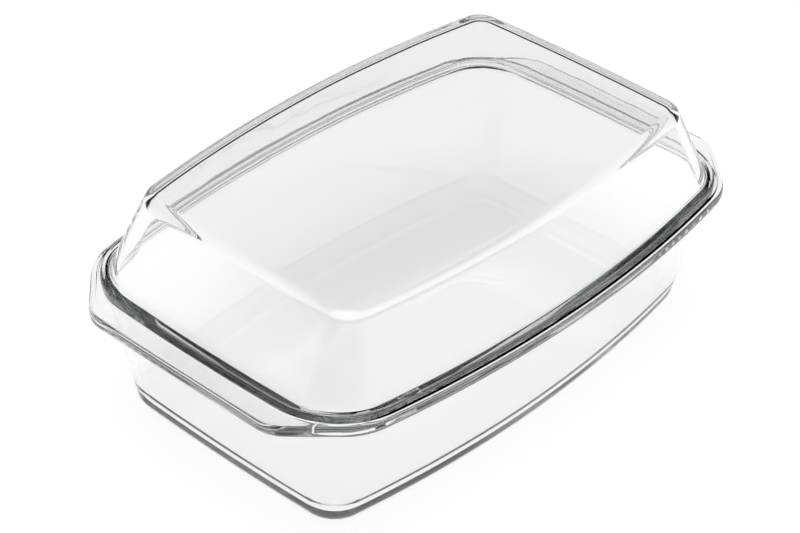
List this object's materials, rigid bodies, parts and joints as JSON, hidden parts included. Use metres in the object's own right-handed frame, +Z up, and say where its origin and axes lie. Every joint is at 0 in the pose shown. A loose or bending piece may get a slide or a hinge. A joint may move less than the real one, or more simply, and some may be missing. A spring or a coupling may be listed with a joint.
{
  "type": "lidded glass baking dish",
  "caption": "Rectangular clear-glass loaf and roasting dish with flat end grips and a deep domed glass lid whose flange drops into a seat in the rim.",
  "frame": {"origin": "centre of the underside, on the surface that the dish stands on", "axes": "+X along the length, from grip to grip; +Y across the width; +Z up, the way the lid lifts off"},
  "size_m": [0.33, 0.2094, 0.1207],
  "materials": {
    "dish_glass": "clear colourless pressed glass, fire-polished",
    "lid_glass": "clear colourless pressed glass, fire-polished"
  },
  "bodies": {
    "dish": {"dish": "dish_glass"},
    "lid": {"lid": "lid_glass"}
  },
  "joints": [
    {"name": "lid_lift", "type": "slide", "parent": "dish", "child": "lid", "axis": [0, 0, 1], "range_m": [0, 0.12]}
  ]
}
